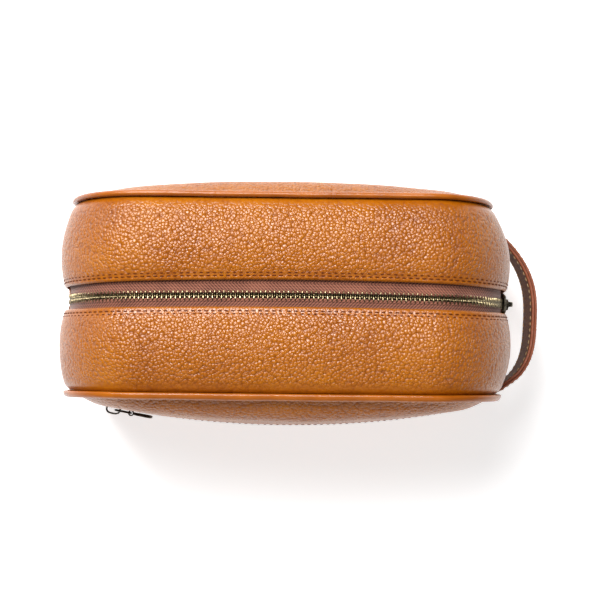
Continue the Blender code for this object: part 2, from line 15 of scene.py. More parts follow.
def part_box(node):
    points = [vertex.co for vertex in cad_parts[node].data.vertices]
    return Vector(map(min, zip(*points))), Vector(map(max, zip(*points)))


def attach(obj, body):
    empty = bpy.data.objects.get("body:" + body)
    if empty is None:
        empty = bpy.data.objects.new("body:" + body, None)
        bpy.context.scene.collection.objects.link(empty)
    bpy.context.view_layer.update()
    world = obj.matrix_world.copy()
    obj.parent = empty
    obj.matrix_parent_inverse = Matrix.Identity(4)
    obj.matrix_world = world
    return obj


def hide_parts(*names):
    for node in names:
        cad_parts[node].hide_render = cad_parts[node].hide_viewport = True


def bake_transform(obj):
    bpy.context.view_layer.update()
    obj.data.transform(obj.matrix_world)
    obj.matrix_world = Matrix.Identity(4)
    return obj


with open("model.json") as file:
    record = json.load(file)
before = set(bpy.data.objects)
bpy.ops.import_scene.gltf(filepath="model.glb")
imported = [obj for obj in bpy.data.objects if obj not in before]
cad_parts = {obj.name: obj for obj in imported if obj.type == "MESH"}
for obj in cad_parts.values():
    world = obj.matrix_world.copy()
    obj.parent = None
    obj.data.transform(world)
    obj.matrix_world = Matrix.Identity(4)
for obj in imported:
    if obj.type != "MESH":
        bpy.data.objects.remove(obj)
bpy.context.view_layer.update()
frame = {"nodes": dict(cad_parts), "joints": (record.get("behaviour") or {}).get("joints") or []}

# ---------------- driving sizes, from the frame

JOINTS = {j["name"]: j for j in frame["joints"]}
CORNER_X, _, CORNER_Z = JOINTS["main_slider_run"]["pos_m"]
_, SEAM_Y, FOLD_Z = JOINTS["mouth_back_fold"]["pos_m"]
HALF_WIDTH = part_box("base_gusset")[1].x
TOP_R = HALF_WIDTH - CORNER_X
TOP = CORNER_Z + TOP_R
BASE_R = 0.030
SEAM_RISE = FOLD_Z - TOP
WINDOW_EDGE_RISE, CROWN = -0.0003, 0.0036
LEATHER, STRIP, CLOTH_THICK = 0.0020, 0.0018, 0.0005
PITCH = 0.00245  # between the teeth of one row
CHAIN_RISE, CHAIN_END = -0.0037, 0.1560
TAPE_RISE, TAPE_THICK, ZIP_END = -0.0035, 0.0006, 0.1664
PIPING_Y, PIPING_RISE, PIPING_R, FILLER_R = 0.0530, -0.0037, 0.0023, 0.0011
PANEL_RIM_Y, PANEL_ARC = 0.054, 0.520
FRONT_BULGE, BACK_BULGE = 0.0145, 0.0125
POCKET_Z = JOINTS["pocket_slider_run"]["pos_m"][2]
POCKET_HALF, POCKET_WINDOW = 0.104, 0.0058
POCKET_CHAIN_END, POCKET_DEPTH = 0.1010, 0.0030
STITCH_PITCH, STITCH_LENGTH, STITCH_R = 0.0035, 0.0026, 0.0004
STITCH_ROWS = (0.0013, 0.0029)  # from the window's edge

FLAT = CORNER_X
TOP_ARC = FLAT + TOP_R * math.pi / 2
SIDE = TOP_ARC + TOP - TOP_R - BASE_R
BASE_ARC = SIDE + BASE_R * math.pi / 2
ROUND = BASE_ARC + HALF_WIDTH - BASE_R


def grids(*values):
    """The values as float arrays of one shape."""
    return np.broadcast_arrays(*(np.asarray(v, float) for v in values))


def places(*values):
    """Points whose coordinates are the values."""
    return np.stack(grids(*values), -1)


def unit(vectors):
    """Vectors brought to a length of 1."""
    return vectors / np.linalg.norm(vectors, axis=-1, keepdims=True)


def distance_along(path):
    """Distance along a path to each of its points."""
    return np.concatenate([[0], np.cumsum(np.linalg.norm(np.diff(path, axis=0), axis=1))])


def ring(along, y, rise):
    """Points over the gusset's outline. along runs from the top's middle to the right and round the base."""
    along, y, rise = grids(along, y, rise)
    turned = np.where(along > ROUND, along - 2 * ROUND, along)
    a, side = np.abs(turned), np.where(turned < 0, -1.0, 1.0)
    top = np.clip((a - FLAT) / TOP_R, 0, math.pi / 2)
    base = np.clip((a - SIDE) / BASE_R, 0, math.pi / 2)
    turn = top + base
    x = np.minimum(a, FLAT) + TOP_R * np.sin(top) - BASE_R * (1 - np.cos(base))
    x -= np.clip(a - BASE_ARC, 0, None)
    z = TOP - TOP_R * (1 - np.cos(top)) - np.clip(a - TOP_ARC, 0, SIDE - TOP_ARC)
    z -= BASE_R * np.sin(base)
    return drawn_in(np.stack([side * (x + rise * np.sin(turn)), y, z + rise * np.cos(turn)], -1))


# how far the seams lie behind the solids' seams, by place across the bag
SEAM_SHIFT_AT = (-0.0590, -0.0530, -0.0499, 0.0200, 0.0499, 0.0530, 0.0665)
SEAM_SHIFT = (0.0, 0.0016, -0.0002, 0.0, 0.0038, 0.0025, 0.0)
# how much of its distance from the middle a seam loses at the right and left ends
BACK_PULL, FRONT_PULL = (0.050, 0.018), (0.016, -0.010)
BACK_NARROW, FRONT_NARROW = 0.026, 0.008
ZIP_BOW, BOW_HALF_LENGTH, BOW_FLOOR, BOW_FADE = 0.0017, 0.110, 0.125, 0.015


def drawn_in(points):
    """The seams pull the gusset's ends in, further at the back, and the zip bows a little to the back."""
    x, y, z = points[..., 0], points[..., 1], points[..., 2]
    y = y + np.interp(y, SEAM_SHIFT_AT, SEAM_SHIFT)
    near = np.clip(np.abs(y) / PIPING_Y, 0, 1.15) ** 3
    right, left = (np.where(y > 0, back, front) for back, front in zip(BACK_PULL, FRONT_PULL))
    reach = np.clip(np.abs(x) / HALF_WIDTH, 0, 1)
    pull = np.where(x > 0, right, left) * near * reach**4
    narrow = np.where(y > 0, BACK_NARROW, FRONT_NARROW) * reach**8
    bow = ZIP_BOW * np.clip(1 - (x / BOW_HALF_LENGTH) ** 2, 0, 1) * np.clip((z - BOW_FLOOR) / BOW_FADE, 0, 1)
    bow = bow * np.clip(1 - (y / SEAM_Y) ** 2, 0, 1)
    return np.stack([x * (1 - pull), y * (1 - narrow) + bow, z], -1)


def smooth(knots, values, at):
    """A smooth curve near a few values, read at any places."""
    fit = np.polynomial.Polynomial.fit(knots, values, len(knots) - 1)
    return fit(np.clip(at, knots[0], knots[-1]))


def wobble(points, size, seed=0.0):
    """Slow unevenness, from -1 to 1, over a length of about size."""
    p = np.asarray(points) * (2 * math.pi / size)
    x, y, z = p[..., 0], p[..., 1], p[..., 2]
    first = np.sin(x * 0.91 + y * 0.43 + seed) * np.sin(y * 1.07 - z * 0.61 + 1.7 * seed)
    second = np.sin(x * 0.37 - y * 1.31 + z * 0.83 + 2.3 * seed)
    third = np.sin(x * 1.73 + z * 1.29 - y * 0.57 + 0.9 * seed)
    return (first + 0.6 * second + 0.4 * third) / 2.0


# ---------------- materials


class Paint:
    """A Principled material with a few helpers for its nodes."""

    def __init__(self, name, colour, roughness, metallic=0.0, **constants):
        self.material = bpy.data.materials.new(name)
        self.material.use_nodes = True
        self.tree = self.material.node_tree
        self.shader = self.tree.nodes["Principled BSDF"]
        values = {"Base Color": (*colour, 1.0), "Roughness": roughness, "Metallic": metallic}
        for socket, value in {**values, **constants}.items():
            self.shader.inputs[socket].default_value = value

    def node(self, kind, links=None, **settings):
        made = self.tree.nodes.new(kind)
        for key, value in settings.items():
            if hasattr(made, key):
                setattr(made, key, value)
            else:
                made.inputs[key.replace("_", " ")].default_value = value
        for socket, source in (links or {}).items():
            self.tree.links.new(source, made.inputs[socket])
        return made

    def place(self, name="rest"):
        return self.node("ShaderNodeAttribute", attribute_name=name).outputs["Vector"]

    def maths(self, operation, a, b=0.5):
        made = self.node("ShaderNodeMath", operation=operation)
        for socket, value in enumerate((a, b)):
            if isinstance(value, (int, float)):
                made.inputs[socket].default_value = value
            else:
                self.tree.links.new(value, made.inputs[socket])
        return made.outputs[0]

    def total(self, *terms):
        """The sum of (source, weight) pairs."""
        parts = [a if weight == 1 else self.maths("MULTIPLY", a, weight) for a, weight in terms]
        made = parts[0]
        for part in parts[1:]:
            made = self.maths("ADD", made, part)
        return made

    def noise(self, scale, detail=2.0, at=None):
        links = {"Vector": at or self.place()}
        return self.node("ShaderNodeTexNoise", links, Scale=scale, Detail=detail).outputs["Fac"]

    def cells(self, scale, at, feature="DISTANCE_TO_EDGE"):
        made = self.node("ShaderNodeTexVoronoi", {"Vector": at}, feature=feature, Scale=scale)
        return made.outputs["Distance"]

    def ramp(self, source, *stops):
        made = self.node("ShaderNodeValToRGB", {"Fac": source})
        points = made.color_ramp.elements
        while len(points) < len(stops):
            points.new(0.5)
        for point, (at, colour) in zip(points, stops):
            point.position = at
            point.color = (*colour, 1.0) if isinstance(colour, tuple) else (colour,) * 3 + (1.0,)
        return made.outputs["Color"]

    def bump(self, height, distance):
        made = self.node("ShaderNodeBump", {"Height": height}, Distance=distance, Strength=1.0)
        return made.outputs["Normal"]

    def link(self, source, socket):
        self.tree.links.new(source, self.shader.inputs[socket])


def pebbled_leather(name, dark, mid, light, pebble, depth, roughness=0.42):
    """Grained leather: rounded pebbles parted by fine creases, with painted shade that darkens the creases
    and lightens the pebble tops.
    """
    paint = Paint(name, mid, roughness, **{"Specular IOR Level": 0.66})
    rest = paint.place()
    shift = paint.node("ShaderNodeTexNoise", {"Vector": rest}, Scale=260.0, Detail=2.0)
    moved = paint.node("ShaderNodeVectorMath", operation="SCALE")
    moved.inputs["Scale"].default_value = pebble * 0.55
    paint.tree.links.new(shift.outputs["Color"], moved.inputs[0])
    warped = paint.node("ShaderNodeVectorMath", operation="ADD")
    paint.tree.links.new(rest, warped.inputs[0])
    paint.tree.links.new(moved.outputs[0], warped.inputs[1])
    at = warped.outputs[0]
    reach = paint.cells(1 / pebble, at, "F1")
    fall = paint.maths("MULTIPLY", paint.maths("MULTIPLY", reach, reach), 1.5)
    round_top = paint.maths("SUBTRACT", 1.0, fall)
    crease = paint.ramp(paint.cells(1 / pebble, at), (0.0, 0.0), (0.05, 0.7), (0.14, 1.0))
    dome = paint.total((round_top, 0.75), (crease, 0.25))
    fine = paint.ramp(paint.cells(2.1 / pebble, at), (0.0, 0.0), (0.3, 1.0))
    pores = paint.noise(2400.0, 2.0)
    swell = paint.noise(0.55 / pebble, 2.0)
    height = paint.total((dome, 1), (fine, 0.10), (pores, 0.07), (swell, 0.5))
    flat = paint.node("ShaderNodeAttribute", attribute_name="pressed").outputs["Fac"]
    height = paint.maths("MULTIPLY", height, paint.maths("SUBTRACT", 1.0, flat))
    paint.link(paint.bump(height, depth), "Normal")
    # painted shade: the dome term darkens the creases and lightens the pebble tops; the two noises are the
    # leather's own random tone
    tone_and_painted_shade = paint.total((paint.noise(30.0, 4.0), 0.45), (dome, 0.16), (paint.noise(500.0, 2.0), 0.34))
    paint.link(paint.ramp(tone_and_painted_shade, (0.25, dark), (0.50, mid), (0.78, light)), "Base Color")
    gloss = paint.maths("ADD", paint.maths("MULTIPLY", paint.noise(55.0, 3.0), 0.14), roughness - 0.07)
    paint.link(paint.total((gloss, 1), (dome, -0.08)), "Roughness")
    return paint.material


def plain_leather(name, dark, mid, depth, roughness):
    """Stretched or cut leather with hardly any grain."""
    paint = Paint(name, mid, roughness, **{"Specular IOR Level": 0.55})
    at = paint.place()
    grain = paint.ramp(paint.cells(900.0, at), (0.0, 0.0), (0.3, 1.0))
    height = paint.total((grain, 0.5), (paint.noise(700.0, 3.0), 1))
    paint.link(paint.bump(height, depth), "Normal")
    paint.link(paint.ramp(paint.noise(60.0, 5.0), (0.3, dark), (0.7, mid)), "Base Color")
    return paint.material


def woven(name, dark, light, thread, chevron, roughness=0.75):
    """Herringbone tape or plain cloth, from the weave attribute: along, across. Its colour carries painted
    shade in the weave's grooves.
    """
    paint = Paint(name, light, roughness, **{"Specular IOR Level": 0.35, "Sheen Weight": 0.25})
    parts = paint.node("ShaderNodeSeparateXYZ", {"Vector": paint.place("weave")}).outputs
    folded = paint.maths("PINGPONG", parts["Y"], chevron)
    slant = paint.maths("ADD", parts["X"], folded)
    wave = paint.maths("SINE", paint.maths("MULTIPLY", slant, 2 * math.pi / thread))
    cross = paint.maths("SINE", paint.maths("MULTIPLY", parts["Y"], 2 * math.pi / (thread * 0.8)))
    level = paint.maths("ADD", paint.maths("MULTIPLY", wave, 0.35), 0.5)
    height = paint.total((level, 1), (cross, 0.12), (paint.noise(3000.0, 2.0), 0.3))
    paint.link(paint.bump(height, 0.00025), "Normal")
    # painted shade: the colour follows the weave's height, darker in its grooves; the noise is the cloth's
    # own random tone
    tone_and_painted_shade = paint.total((height, 0.6), (paint.noise(80.0, 3.0), 0.4))
    paint.link(paint.ramp(tone_and_painted_shade, (0.3, dark), (0.85, light)), "Base Color")
    return paint.material


def worn_metal(name, dark, light, roughness):
    """Cast metal with a dark antique finish, rubbed lighter in patches."""
    paint = Paint(name, light, roughness, 1.0)
    grime = paint.noise(900.0, 4.0)
    paint.link(paint.ramp(grime, (0.35, dark), (0.62, light)), "Base Color")
    gloss = paint.ramp(paint.noise(1530.0, 3.0), (0.3, roughness + 0.12), (0.7, roughness - 0.05))
    paint.link(gloss, "Roughness")
    paint.link(paint.bump(paint.noise(2250.0, 3.0), 0.00006), "Normal")
    return paint.material


def thread_paint(name, dark, light):
    """Twisted sewing thread."""
    paint = Paint(name, light, 0.85, **{"Specular IOR Level": 0.12})
    paint.link(paint.ramp(paint.noise(1500.0, 3.0), (0.35, dark), (0.65, light)), "Base Color")
    paint.link(paint.bump(paint.noise(4000.0, 2.0), 0.0001), "Normal")
    return paint.material


TAN = pebbled_leather(
    "tan_leather", (0.22, 0.048, 0.0002), (0.35, 0.096, 0.0006), (0.47, 0.155, 0.003), 0.0018, 0.00047, 0.35
)
PIPED = plain_leather("piping_leather", (0.28, 0.066, 0.0015), (0.41, 0.110, 0.004), 0.00012, 0.27)
PAINTED = plain_leather("painted_edge", (0.26, 0.065, 0.025), (0.37, 0.105, 0.045), 0.00015, 0.42)
STRAP_BACK = pebbled_leather(
    "strap_backing", (0.050, 0.016, 0.004), (0.11, 0.036, 0.010), (0.19, 0.070, 0.022), 0.0012, 0.00025, 0.6
)
FILLER = thread_paint("piping_cord", (0.50, 0.46, 0.39), (0.74, 0.70, 0.62))
TAPE = woven("zip_tape", (0.050, 0.012, 0.006), (0.30, 0.105, 0.060), 0.0018, 0.0060)
CLOTH = woven("lining_cloth", (0.030, 0.016, 0.010), (0.085, 0.048, 0.030), 0.0006, 0.0006, 0.9)
BRASS_DARK = worn_metal("dark_brass", (0.030, 0.026, 0.020), (0.22, 0.185, 0.135), 0.33)
BRASS = worn_metal("antique_brass", (0.10, 0.074, 0.038), (0.42, 0.335, 0.19), 0.30)
DARK = worn_metal("dark_bronze", (0.03, 0.025, 0.02), (0.16, 0.135, 0.105), 0.36)
THREAD = thread_paint("brown_thread", (0.06, 0.012, 0.003), (0.15, 0.033, 0.008))
STRAP_THREAD = thread_paint("pale_thread", (0.40, 0.25, 0.12), (0.62, 0.44, 0.26))


# ---------------- mesh helpers


def piece(name, points, faces, paints, slot, weave=None, picks=None, smooth_angle=40):
    """A mesh object with its rest coordinates stored for its textures."""
    mesh = bpy.data.meshes.new(name)
    mesh.from_pydata(np.asarray(points).tolist(), [], faces)
    mesh.update()
    bm = bmesh.new()
    bm.from_mesh(mesh)
    bmesh.ops.recalc_face_normals(bm, faces=bm.faces)
    bm.to_mesh(mesh)
    bm.free()
    rest = mesh.attributes.new("rest", "FLOAT_VECTOR", "POINT")
    rest.data.foreach_set("vector", np.asarray(points, np.float32).ravel())
    if weave is not None:
        cloth = mesh.attributes.new("weave", "FLOAT_VECTOR", "POINT")
        cloth.data.foreach_set("vector", np.asarray(weave, np.float32).ravel())
    for paint in paints if isinstance(paints, (list, tuple)) else [paints]:
        mesh.materials.append(paint)
    if picks is not None:
        mesh.polygons.foreach_set("material_index", np.asarray(picks, np.int32))
    mesh.shade_smooth()
    mesh.set_sharp_from_angle(angle=math.radians(smooth_angle))
    made = bpy.data.objects.new(name, mesh)
    bpy.context.scene.collection.objects.link(made)
    return made


def loft(name, loops, paints, slot, closed=False, weave=None, pick=None, smooth_angle=40):
    """A skin through section loops (rows x corners x 3), joined in a ring or capped.

    pick(k) gives the paint of side k.
    """
    rows, corners = loops.shape[:2]
    faces, picks = [], []
    for i in range(rows if closed else rows - 1):
        after = (i + 1) % rows
        for k in range(corners):
            beside = (k + 1) % corners
            here, there = i * corners, after * corners
            faces.append([here + k, here + beside, there + beside, there + k])
            picks.append(pick(k) if pick else 0)
    if not closed:
        faces += [list(range(corners)), [(rows - 1) * corners + k for k in reversed(range(corners))]]
        picks += [0, 0]
    grid = None if weave is None else weave.reshape(-1, 3)
    return piece(name, loops.reshape(-1, 3), faces, paints, slot, grid, picks, smooth_angle)


def plate(name, outer, inner, paint, slot, keep=None, weave=None):
    """A closed sheet between two grids of points, with any cells that keep() drops cut out."""
    rows, columns = outer.shape[:2]
    size = rows * columns
    held = {
        (i, j)
        for i in range(rows - 1)
        for j in range(columns - 1)
        if keep is None or keep(i, j)
    }
    faces = []
    for i, j in sorted(held):
        ring_of = [(i, j), (i + 1, j), (i + 1, j + 1), (i, j + 1)]
        corner = [a * columns + b for a, b in ring_of]
        faces += [corner, [size + c for c in reversed(corner)]]
        for k, cell in enumerate([(i, j - 1), (i + 1, j), (i, j + 1), (i - 1, j)]):
            if cell not in held:
                a, b = corner[k], corner[(k + 1) % 4]
                faces.append([b, a, size + a, size + b])
    points = np.concatenate([outer.reshape(-1, 3), inner.reshape(-1, 3)])
    used = np.unique(np.concatenate([np.asarray(f) for f in faces]))
    index = np.full(len(points), -1)
    index[used] = np.arange(len(used))
    faces = [[int(index[v]) for v in f] for f in faces]
    grid = None if weave is None else np.concatenate([weave.reshape(-1, 3)] * 2)[used]
    return piece(name, points[used], faces, paint, slot, grid)


def strewn(name, template, spots, paint, slot):
    """Copies of a template (points, faces) at spots: arrays of origins and x, y, z axes."""
    points, faces = template
    origins, axes = spots
    placed = origins[:, None, :] + np.einsum("pk,nkc->npc", points, axes)
    count = len(points)
    all_faces = [[v + i * count for v in face] for i in range(len(origins)) for face in faces]
    return piece(name, placed.reshape(-1, 3), all_faces, paint, slot, smooth_angle=50)


def tube_template(stations_at, sides=8):
    """A closed body through sections: (centre x, y, z, half width, half height) along Y."""
    points, faces = [], []
    for x, y, z, wide, tall in stations_at:
        for k in range(sides):
            turn = 2 * math.pi * (k + 0.5) / sides
            points.append((x + wide * math.cos(turn), y, z + tall * math.sin(turn)))
    for i in range(len(stations_at) - 1):
        for k in range(sides):
            beside = (k + 1) % sides
            faces.append([i * sides + k, i * sides + beside, (i + 1) * sides + beside, (i + 1) * sides + k])
    last = (len(stations_at) - 1) * sides
    faces += [list(range(sides)), [last + k for k in reversed(range(sides))]]
    return np.array(points), faces


def sewn(name, spots, thread=THREAD):
    """Stitches along Y at the spots, whose ends dive into the leather."""
    half = STITCH_LENGTH / 2
    shape = [(-1.0, -1.3, 0.35), (-0.8, -0.3, 0.9), (0.0, 0.35, 1.0), (0.8, -0.3, 0.9), (1.0, -1.3, 0.35)]
    one = tube_template([(0, half * a, STITCH_R * b, STITCH_R * c, STITCH_R * c) for a, b, c in shape], 6)
    return strewn(name, one, spots, thread, "zip_tape")


def spots_along(path, normals, pitch, lift=0.0):
    """Evenly spaced places on a path, with Y along it and Z off the surface."""
    run = distance_along(path)
    count = int(run[-1] / pitch)
    at = (np.arange(count) + 0.5) * run[-1] / count
    origin = np.stack([np.interp(at, run, path[:, c]) for c in range(3)], 1)
    ahead = np.stack([np.interp(at + 1e-4, run, path[:, c]) for c in range(3)], 1)
    behind = np.stack([np.interp(at - 1e-4, run, path[:, c]) for c in range(3)], 1)
    up = np.stack([np.interp(at, run, normals[:, c]) for c in range(3)], 1)
    along = unit(ahead - behind)
    across = unit(np.cross(along, up))
    up = np.cross(across, along)
    return origin + up * lift, np.stack([across, along, up], 1)


def surface(point_of, a, y):
    """Points and outward normals of a face given as point_of(a, y)."""
    here = point_of(a, y)
    along = point_of(a + 2e-4, y) - point_of(a - 2e-4, y)
    across = point_of(a, y + 2e-4) - point_of(a, y - 2e-4)
    return here, unit(np.cross(along, across))


def ride(made, body, *nodes):
    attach(made, body)
    if nodes:
        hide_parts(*nodes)
    return made


MOUTH_STILL, MOUTH_TURNED = 0.083, 0.052  # where the mouth starts to turn, and where it has turned


def bend(made, half, side, *nodes):
    """Leather, tape or teeth on one half of the mouth: its place is baked into its mesh and the solids it
    stands for are hidden.
    """
    start, end = (side * MOUTH_STILL, 0, TOP), (side * MOUTH_TURNED, 0, TOP)
    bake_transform(made)
    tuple(start)
    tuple(end)
    if nodes:
        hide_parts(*nodes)
    return made


def split_nodes(name, half, end):
    """The solids that a side length stands for. The left one stands for the mouth's solid too."""
    return [f"{name}_{half}_{end}"] + ([f"{name}_{half}_top"] if end == "left" else [])


# ---------------- zipped gusset

HALVES = (("front", -1), ("back", 1))
ENDS = (("left", -1), ("right", 1))
EDGE_AT = (-0.166, -0.078, 0.0, 0.078, 0.150)
EDGES = {"back": (0.0068, 0.0087, 0.0093, 0.0090, 0.0077), "front": (0.0066, 0.0070, 0.0070, 0.0068, 0.0062)}


def window_edge(along, half):
    return smooth(EDGE_AT, EDGES[half], along)


ROLL_FROM, ROLL_DROP = 0.0455, 0.0018  # where the leather turns down into its seam
STITCH_DENT, DENT_WIDTH = 0.00034, 0.0006


def strip_rise(along, y, half):
    """Height of a zip strip over the outline: crowned, dented by the stitches and slightly uneven."""
    edge = window_edge(along, half)
    share = (np.abs(y) - edge) / (SEAM_Y - edge)
    rise = WINDOW_EDGE_RISE * (1 - share) + SEAM_RISE * share + 4 * CROWN * share * (1 - share)
    over = np.clip((np.abs(y) - ROLL_FROM) / (SEAM_Y - ROLL_FROM), 0, 1)
    rise -= ROLL_DROP * over**3
    for row in STITCH_ROWS:
        rise -= STITCH_DENT * np.exp(-(((np.abs(y) - edge - row) / DENT_WIDTH) ** 2))
    spot = places(along, y, 0.0)
    away = np.clip(share * (1 - share) * 6, 0, 1)
    return rise + away * (0.00035 * wobble(spot, 0.055, 1.0 + 2 * (half == "back")))


def strip_section():
    """(share across, depth share) round a strip: outer face, seam, inner face, rolled window edge."""
    outer = [(t, 0.0) for t in np.concatenate([[0.012, 0.03], np.linspace(0.05, 1.0, 26)])]
    inner = [(t, 1.0) for t in (0.99, 0.7, 0.4, 0.1, 0.02)]
    edge = [(-0.012, 0.82), (-0.022, 0.5), (-0.014, 0.2), (0.0, 0.06)]
    return outer + inner + edge


def press(made, amount):
    """How far the grain is pressed out, from 0 to 1, at each point."""
    flat = made.data.attributes.new("pressed", "FLOAT", "POINT")
    flat.data.foreach_set("value", np.asarray(amount, np.float32).ravel())


def gusset_strips():
    """The zipped leather: two strips on each side of the bag, with their stitches and tape."""
    section = np.array(strip_section())
    for half, side in HALVES:
        for end, hand in ENDS:
            a = hand * np.linspace(0.0, ZIP_END, 120)
            edge = window_edge(a, half)[:, None]
            share, depth = section[None, :, 0], section[None, :, 1]
            y = edge + share * (SEAM_Y + 0.0003 - edge)
            rise = strip_rise(a[:, None], y, half) - depth * STRIP
            made = loft(f"gusset_{half}_{end}_leather", ring(a[:, None], side * y, rise), TAN, "leather")
            stretched = np.clip((np.abs(y) - 0.0440) / 0.0040, 0, 0.85)
            press(made, np.maximum(np.clip(1.2 - (np.abs(y) - edge) / 0.0040, 0, 0.6), stretched))
            bend(made, half, hand, *split_nodes("gusset", half, end))
            stitches(half, side, end, hand)
            tape(half, side, end, hand)


def stitches(half, side, end, hand):
    """Two rows beside the zip's window."""
    a = hand * np.linspace(0.0005, ZIP_END - 0.001, 400)
    spots = []

    def face(at, y):
        return ring(at, side * y, strip_rise(at, y, half))

    for row in STITCH_ROWS:
        path, normals = surface(face, a, window_edge(a, half) + row)
        normals *= np.sign((normals * (path - ring(a, side * 0.02, -0.02))).sum(-1, keepdims=True))
        spots.append(spots_along(path, normals, STITCH_PITCH, 0.00002))
    both = tuple(np.concatenate(parts) for parts in zip(*spots))
    made = sewn(f"stitches_{half}_{end}", both)
    bend(made, half, hand)


def tape_section(reach):
    """(across, depth) round a tape: a corded edge inside the teeth's feet, then flat cloth."""
    cord = [(0.0013, 0.9), (0.0016, 0.1), (0.0022, -0.4), (0.0028, -0.5), (0.0032, 0.0)]
    outer = [(0.0045, 0.0), (0.0062, 0.0), (0.0085, 0.0), (reach, 0.0)]
    inner = [(reach, 1.0), (0.0062, 1.0), (0.0032, 1.1), (0.0022, 1.9), (0.0016, 1.7)]
    return cord + outer + inner


def tape_weave(a, loops):
    """Places on the cloth, along and across it, for its twill."""
    return places(a[:, None], distance_along(loops[0])[None, :], 0.0)


def tape(half, side, end, hand):
    """The zip's woven tape, with the corded edge that the teeth clamp."""
    a = hand * np.linspace(0.0, ZIP_END, 110)
    section = np.array(tape_section(0.0165))
    y, depth = section[None, :, 0], section[None, :, 1]
    sag = 0.0003 * wobble(places(a, 0.0, 0.0), 0.06, 4.0)[:, None] * (y - 0.003) / 0.006
    loops = ring(a[:, None], side * y, TAPE_RISE + sag - depth * TAPE_THICK)
    made = loft(f"zip_tape_{half}_{end}_cloth", loops, TAPE, "zip_tape", weave=tape_weave(a, loops))
    bend(made, half, hand, *split_nodes("zip_tape", half, end))


def tooth_template():
    """One tooth from its root on the tape (y = 0) to its head: a clamped foot, a waist and a rounded head."""
    shape = [
        (0.0, 0.36, 0.50),
        (0.00025, 0.44, 0.82),
        (0.0008, 0.46, 1.02),
        (0.0013, 0.50, 1.15),
        (0.0017, 0.58, 1.05),
        (0.0022, 0.59, 0.86),
        (0.0027, 0.56, 0.62),
        (0.0031, 0.56, 0.60),
        (0.0034, 0.55, 0.84),
        (0.0038, 0.42, 0.62),
    ]
    return tube_template([(0, y, 0, w / 1000, t / 1000) for y, w, t in shape], 8)


def tooth_spots(count_from, count_to, side, point_of, shift):
    """Places of every tooth on one row. point_of(along, y, rise) is a place on the chain."""
    at = (np.arange(count_from, count_to) + shift) * PITCH
    root = side * 0.0029
    origin = point_of(at, root, 0.0)
    across = unit(point_of(at, root - side * 0.001, 0.0) - origin)
    up = unit(point_of(at, root, 0.001) - origin)
    return origin, np.stack([np.cross(across, up), across, up], 1)


def zip_teeth():
    """The main zip's two rows, half a pitch apart."""
    last = int(CHAIN_END / PITCH)
    for half, side in HALVES:
        shift = 0.25 if half == "front" else 0.75
        for end, hand in ENDS:
            first, final = (0, last) if hand > 0 else (-last, 0)
            spots = tooth_spots(first, final, side, lambda a, y, h: ring(a, y, CHAIN_RISE + h), shift)
            made = strewn(f"zip_teeth_{half}_{end}_metal", tooth_template(), spots, BRASS, "brass")
            bend(made, half, hand, *split_nodes("zip_teeth", half, end))


# ---------------- base, piping and panels


BASE_FLAT = 0.042  # where the base gusset starts to turn down


def base_rise(y):
    """Height of the base gusset over the outline, which turns down into its seams."""
    over = np.clip((np.abs(y) - BASE_FLAT) / (SEAM_Y - BASE_FLAT), 0, 1)
    return SEAM_RISE * over**2 - ROLL_DROP * np.clip((np.abs(y) - ROLL_FROM) / 0.0044, 0, 1) ** 3


def base_gusset():
    """The sides' lower halves and the base, in one length, lapped under the zipped strips."""
    a = np.linspace(ZIP_END + 0.0002, 2 * ROUND - ZIP_END - 0.0002, 230)
    rim = np.linspace(0.041, SEAM_Y, 9)
    y = np.concatenate([-rim[::-1], np.linspace(-0.036, 0.036, 19), rim])
    here = np.minimum(a, 2 * ROUND - a)
    side = (1 - np.clip((here - SIDE) / 0.03, 0, 1))[:, None]
    end = np.clip((here - ZIP_END) / 0.030, 0, 1)[:, None]
    near = np.clip(np.abs(y) / SEAM_Y, 0, 1)[None, :]
    crown = side * (0.0014 * (1 - end) * np.sin(math.pi * near) ** 2 + 0.0006 * (1 - near**2))
    spot = ring(a[:, None], y[None, :], 0.0)
    rough = 0.0003 * wobble(spot, 0.05, 6.0) * side
    lap = -0.0010 * np.clip(1 - (here - ZIP_END) / 0.004, 0, 1)[:, None] ** 2
    rise = base_rise(y)[None, :] + crown + rough + lap
    outer, inner = ring(a[:, None], y[None, :], rise), ring(a[:, None], y[None, :], rise - LEATHER)
    ride(plate("base_gusset_leather", outer, inner, TAN, "leather"), "bag", "base_gusset")


def side_seams():
    """Stitched laps where the zipped gusset ends and the base gusset begins."""
    for end, hand in ENDS:
        y = np.linspace(-SEAM_Y + 0.002, SEAM_Y - 0.002, 80)
        at = hand * (ZIP_END + 0.0022)
        path = ring(at, y, base_rise(y) + 0.0003)
        normals = np.tile((hand, 0.0, 0.0), (len(y), 1)).astype(float)
        spots = spots_along(path, normals, STITCH_PITCH)
        ride(sewn(f"side_seam_{end}_stitches", spots), "bag")


def piping():
    """A leather tube round each seam, open where its flange is sewn in, with a cord inside it."""
    open_turns = np.linspace(-math.pi / 2 + 0.25, 1.5 * math.pi - 0.25, 20)
    round_turns = np.linspace(0, 2 * math.pi, 11)[:-1]
    a = np.linspace(0, 2 * ROUND, 361)[:-1]
    for half, side in HALVES:
        soft = 0.00035 * wobble(places(a, 0.0, 0.0), 0.09, 3.0 + side)
        soft *= np.abs(a - ROUND) > 0.16  # steady where it rests on the floor
        for part, radius, turns, paint, slot, node in (
            ("leather", PIPING_R, open_turns, PIPED, "piping", f"{half}_piping"),
            ("filler", FILLER_R, round_turns, FILLER, "piping_cord", f"{half}_piping_cord"),
        ):
            y = side * PIPING_Y + soft[:, None] + radius * np.cos(turns)[None, :]
            rise = PIPING_RISE + radius * np.sin(turns)[None, :]
            made = loft(f"{half}_piping_{part}", ring(a[:, None], y, rise), paint, slot, closed=True)
            ride(made, "bag", node)


